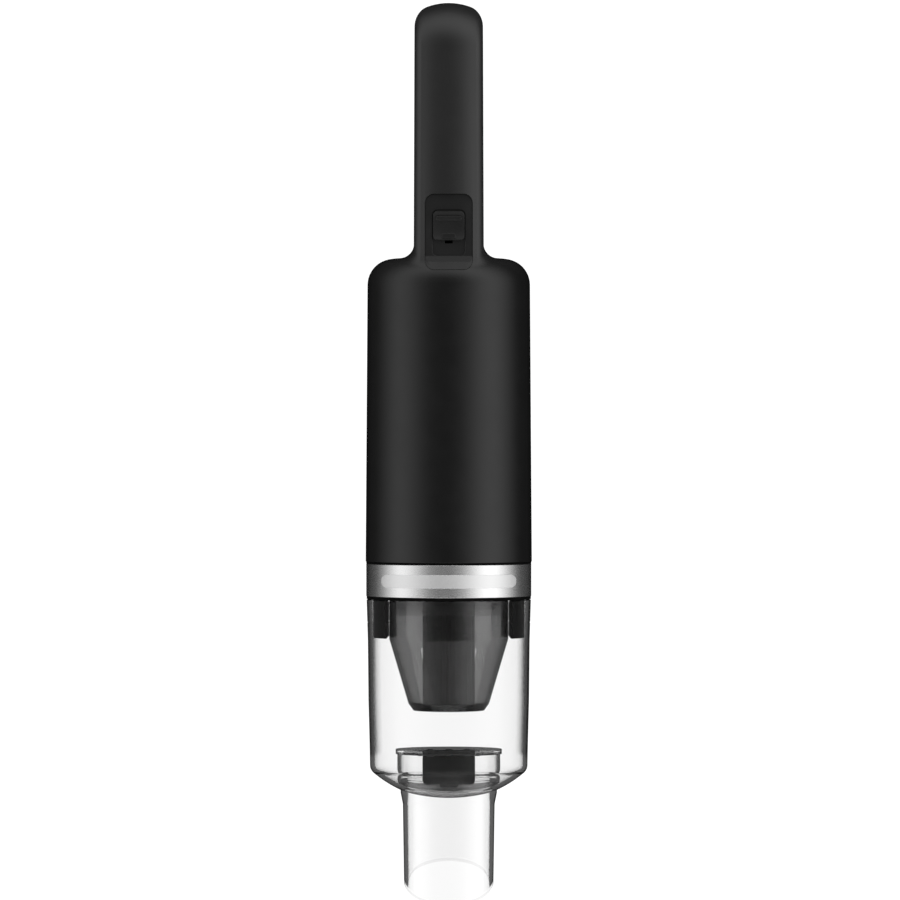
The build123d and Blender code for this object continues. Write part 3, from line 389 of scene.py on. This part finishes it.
band_low, band_high = (corner[1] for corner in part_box("trim_band"))
core_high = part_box("pleated_filter")[1][1]
rim_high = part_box("filter_seal")[1][1]
# Near-black rings above and below the band: painted shade in the gaps
ring("upper_gap_shade", "main_body", "black_plastic", gap_shade,
     band_high + UPPER_ENDS[0], band_high + UPPER_ENDS[1], *UPPER_RADII)
ring("lower_gap_shade", "main_body", "black_plastic", gap_shade,
     band_low + LOWER_ENDS[0], band_low + LOWER_ENDS[1], *LOWER_RADII)
ring("filter_collar", "filter", "filter_paper", paper,
     core_high + COLLAR_GAPS[0], rim_high - COLLAR_GAPS[1], *COLLAR_RADII)


# Floor: a lit white sheet. Clear parts see it less bright, and reflections in them hardly.

FLOOR_REACH = 6.0
FLOOR_LEVEL = -0.0004
SEEN_DIRECTLY = 1.12
SEEN_THROUGH = 1.05
SEEN_REFLECTED = 0.12

floor_mesh = bpy.data.meshes.new("floor")
floor_corners = [(x * FLOOR_REACH, y * FLOOR_REACH, FLOOR_LEVEL)
                 for x, y in ((-1, -1), (1, -1), (1, 1), (-1, 1))]
floor_mesh.from_pydata(floor_corners, [], [(0, 1, 2, 3)])
floor = bpy.data.objects.new("floor", floor_mesh)
bpy.context.scene.collection.objects.link(floor)
floor.visible_glossy = False
floor.visible_diffuse = False


def switched(tree, factor, off, on):
    """One value or another, by a factor of a shader tree."""
    node = tree.nodes.new("ShaderNodeMix")
    tree.links.new(factor, node.inputs["Factor"])
    for socket, value in (("A", off), ("B", on)):
        if isinstance(value, (int, float)):
            node.inputs[socket].default_value = value
        else:
            tree.links.new(value, node.inputs[socket])
    return node.outputs["Result"]


floor_shader = Shader("floor_white")
floor_shader.set(Base_Color=(0.0, 0.0, 0.0), Specular_IOR_Level=0.0,
                 Emission_Color=(1.0, 1.0, 1.0))
path = floor_shader.tree.nodes.new("ShaderNodeLightPath")
indirect = switched(floor_shader.tree, path.outputs["Glossy Depth"], SEEN_THROUGH, SEEN_REFLECTED)
strength = switched(floor_shader.tree, path.outputs["Is Camera Ray"], indirect, SEEN_DIRECTLY)
floor_shader.link(strength, floor_shader.surface.inputs["Emission Strength"])
floor_mesh.materials.append(floor_shader.material)


# Light: round the vacuum stand soft white walls, brightest about 25 degrees above the table, the
# right one a little more than the left one. Brightness by degrees from straight up:

LEFT_WALL = ((0, 0.14), (18, 0.13), (29, 0.24), (41, 0.54), (54, 0.86), (66, 1.08), (75, 1.08),
             (85, 0.84), (96, 0.5), (108, 0.24), (120, 0.08), (142, 0.04), (156, 0.008),
             (180, 0.002))
RIGHT_WALL = ((0, 0.14), (9, 0.24), (21, 0.4), (33, 0.72), (45, 1.15), (62, 1.42), (70, 1.3),
              (80, 1.0), (92, 0.58), (102, 0.28), (113, 0.08), (142, 0.04), (156, 0.008),
              (180, 0.002))
SIDE_BLEND = 0.5           # the walls blend over this much of the direction's X, either way
HALF_TURN = 180

world = bpy.data.worlds.new("studio")
world.use_nodes = True
bpy.context.scene.world = world
tree = world.node_tree
direction = tree.nodes.new("ShaderNodeTexCoord").outputs["Generated"]
split = tree.nodes.new("ShaderNodeSeparateXYZ")
tree.links.new(direction, split.inputs[0])
polar = tree.nodes.new("ShaderNodeMath")
polar.operation = "ARCCOSINE"
tree.links.new(split.outputs["Z"], polar.inputs[0])
turn = tree.nodes.new("ShaderNodeMath")
turn.operation = "DIVIDE"
turn.inputs[1].default_value = math.pi
tree.links.new(polar.outputs[0], turn.inputs[0])


def wall(levels):
    """Brightness ramp from straight up to straight down."""
    node = tree.nodes.new("ShaderNodeValToRGB")
    stops = node.color_ramp.elements
    stops[0].color = (*[levels[0][1]] * 3, 1)
    stops[1].color = (*[levels[-1][1]] * 3, 1)
    for degrees, level in levels[1:-1]:
        stops.new(degrees / HALF_TURN).color = (level, level, level, 1)
    tree.links.new(turn.outputs[0], node.inputs["Fac"])
    return node.outputs["Color"]


side = tree.nodes.new("ShaderNodeMapRange")
side.inputs["From Min"].default_value = -SIDE_BLEND
side.inputs["From Max"].default_value = SIDE_BLEND
tree.links.new(split.outputs["X"], side.inputs["Value"])
walls = tree.nodes.new("ShaderNodeMix")
walls.data_type = "RGBA"
tree.links.new(side.outputs["Result"], walls.inputs["Factor"])
tree.links.new(wall(LEFT_WALL), walls.inputs["A"])
tree.links.new(wall(RIGHT_WALL), walls.inputs["B"])

# The backdrop itself is plain white.
world_path = tree.nodes.new("ShaderNodeLightPath")
seen = tree.nodes.new("ShaderNodeMix")
seen.data_type = "RGBA"
seen.inputs["B"].default_value = (1, 1, 1, 1)
tree.links.new(world_path.outputs["Is Camera Ray"], seen.inputs["Factor"])
tree.links.new(walls.outputs["Result"], seen.inputs["A"])
tree.links.new(seen.outputs["Result"], tree.nodes["Background"].inputs["Color"])

bpy.context.scene.view_settings.view_transform = "Standard"
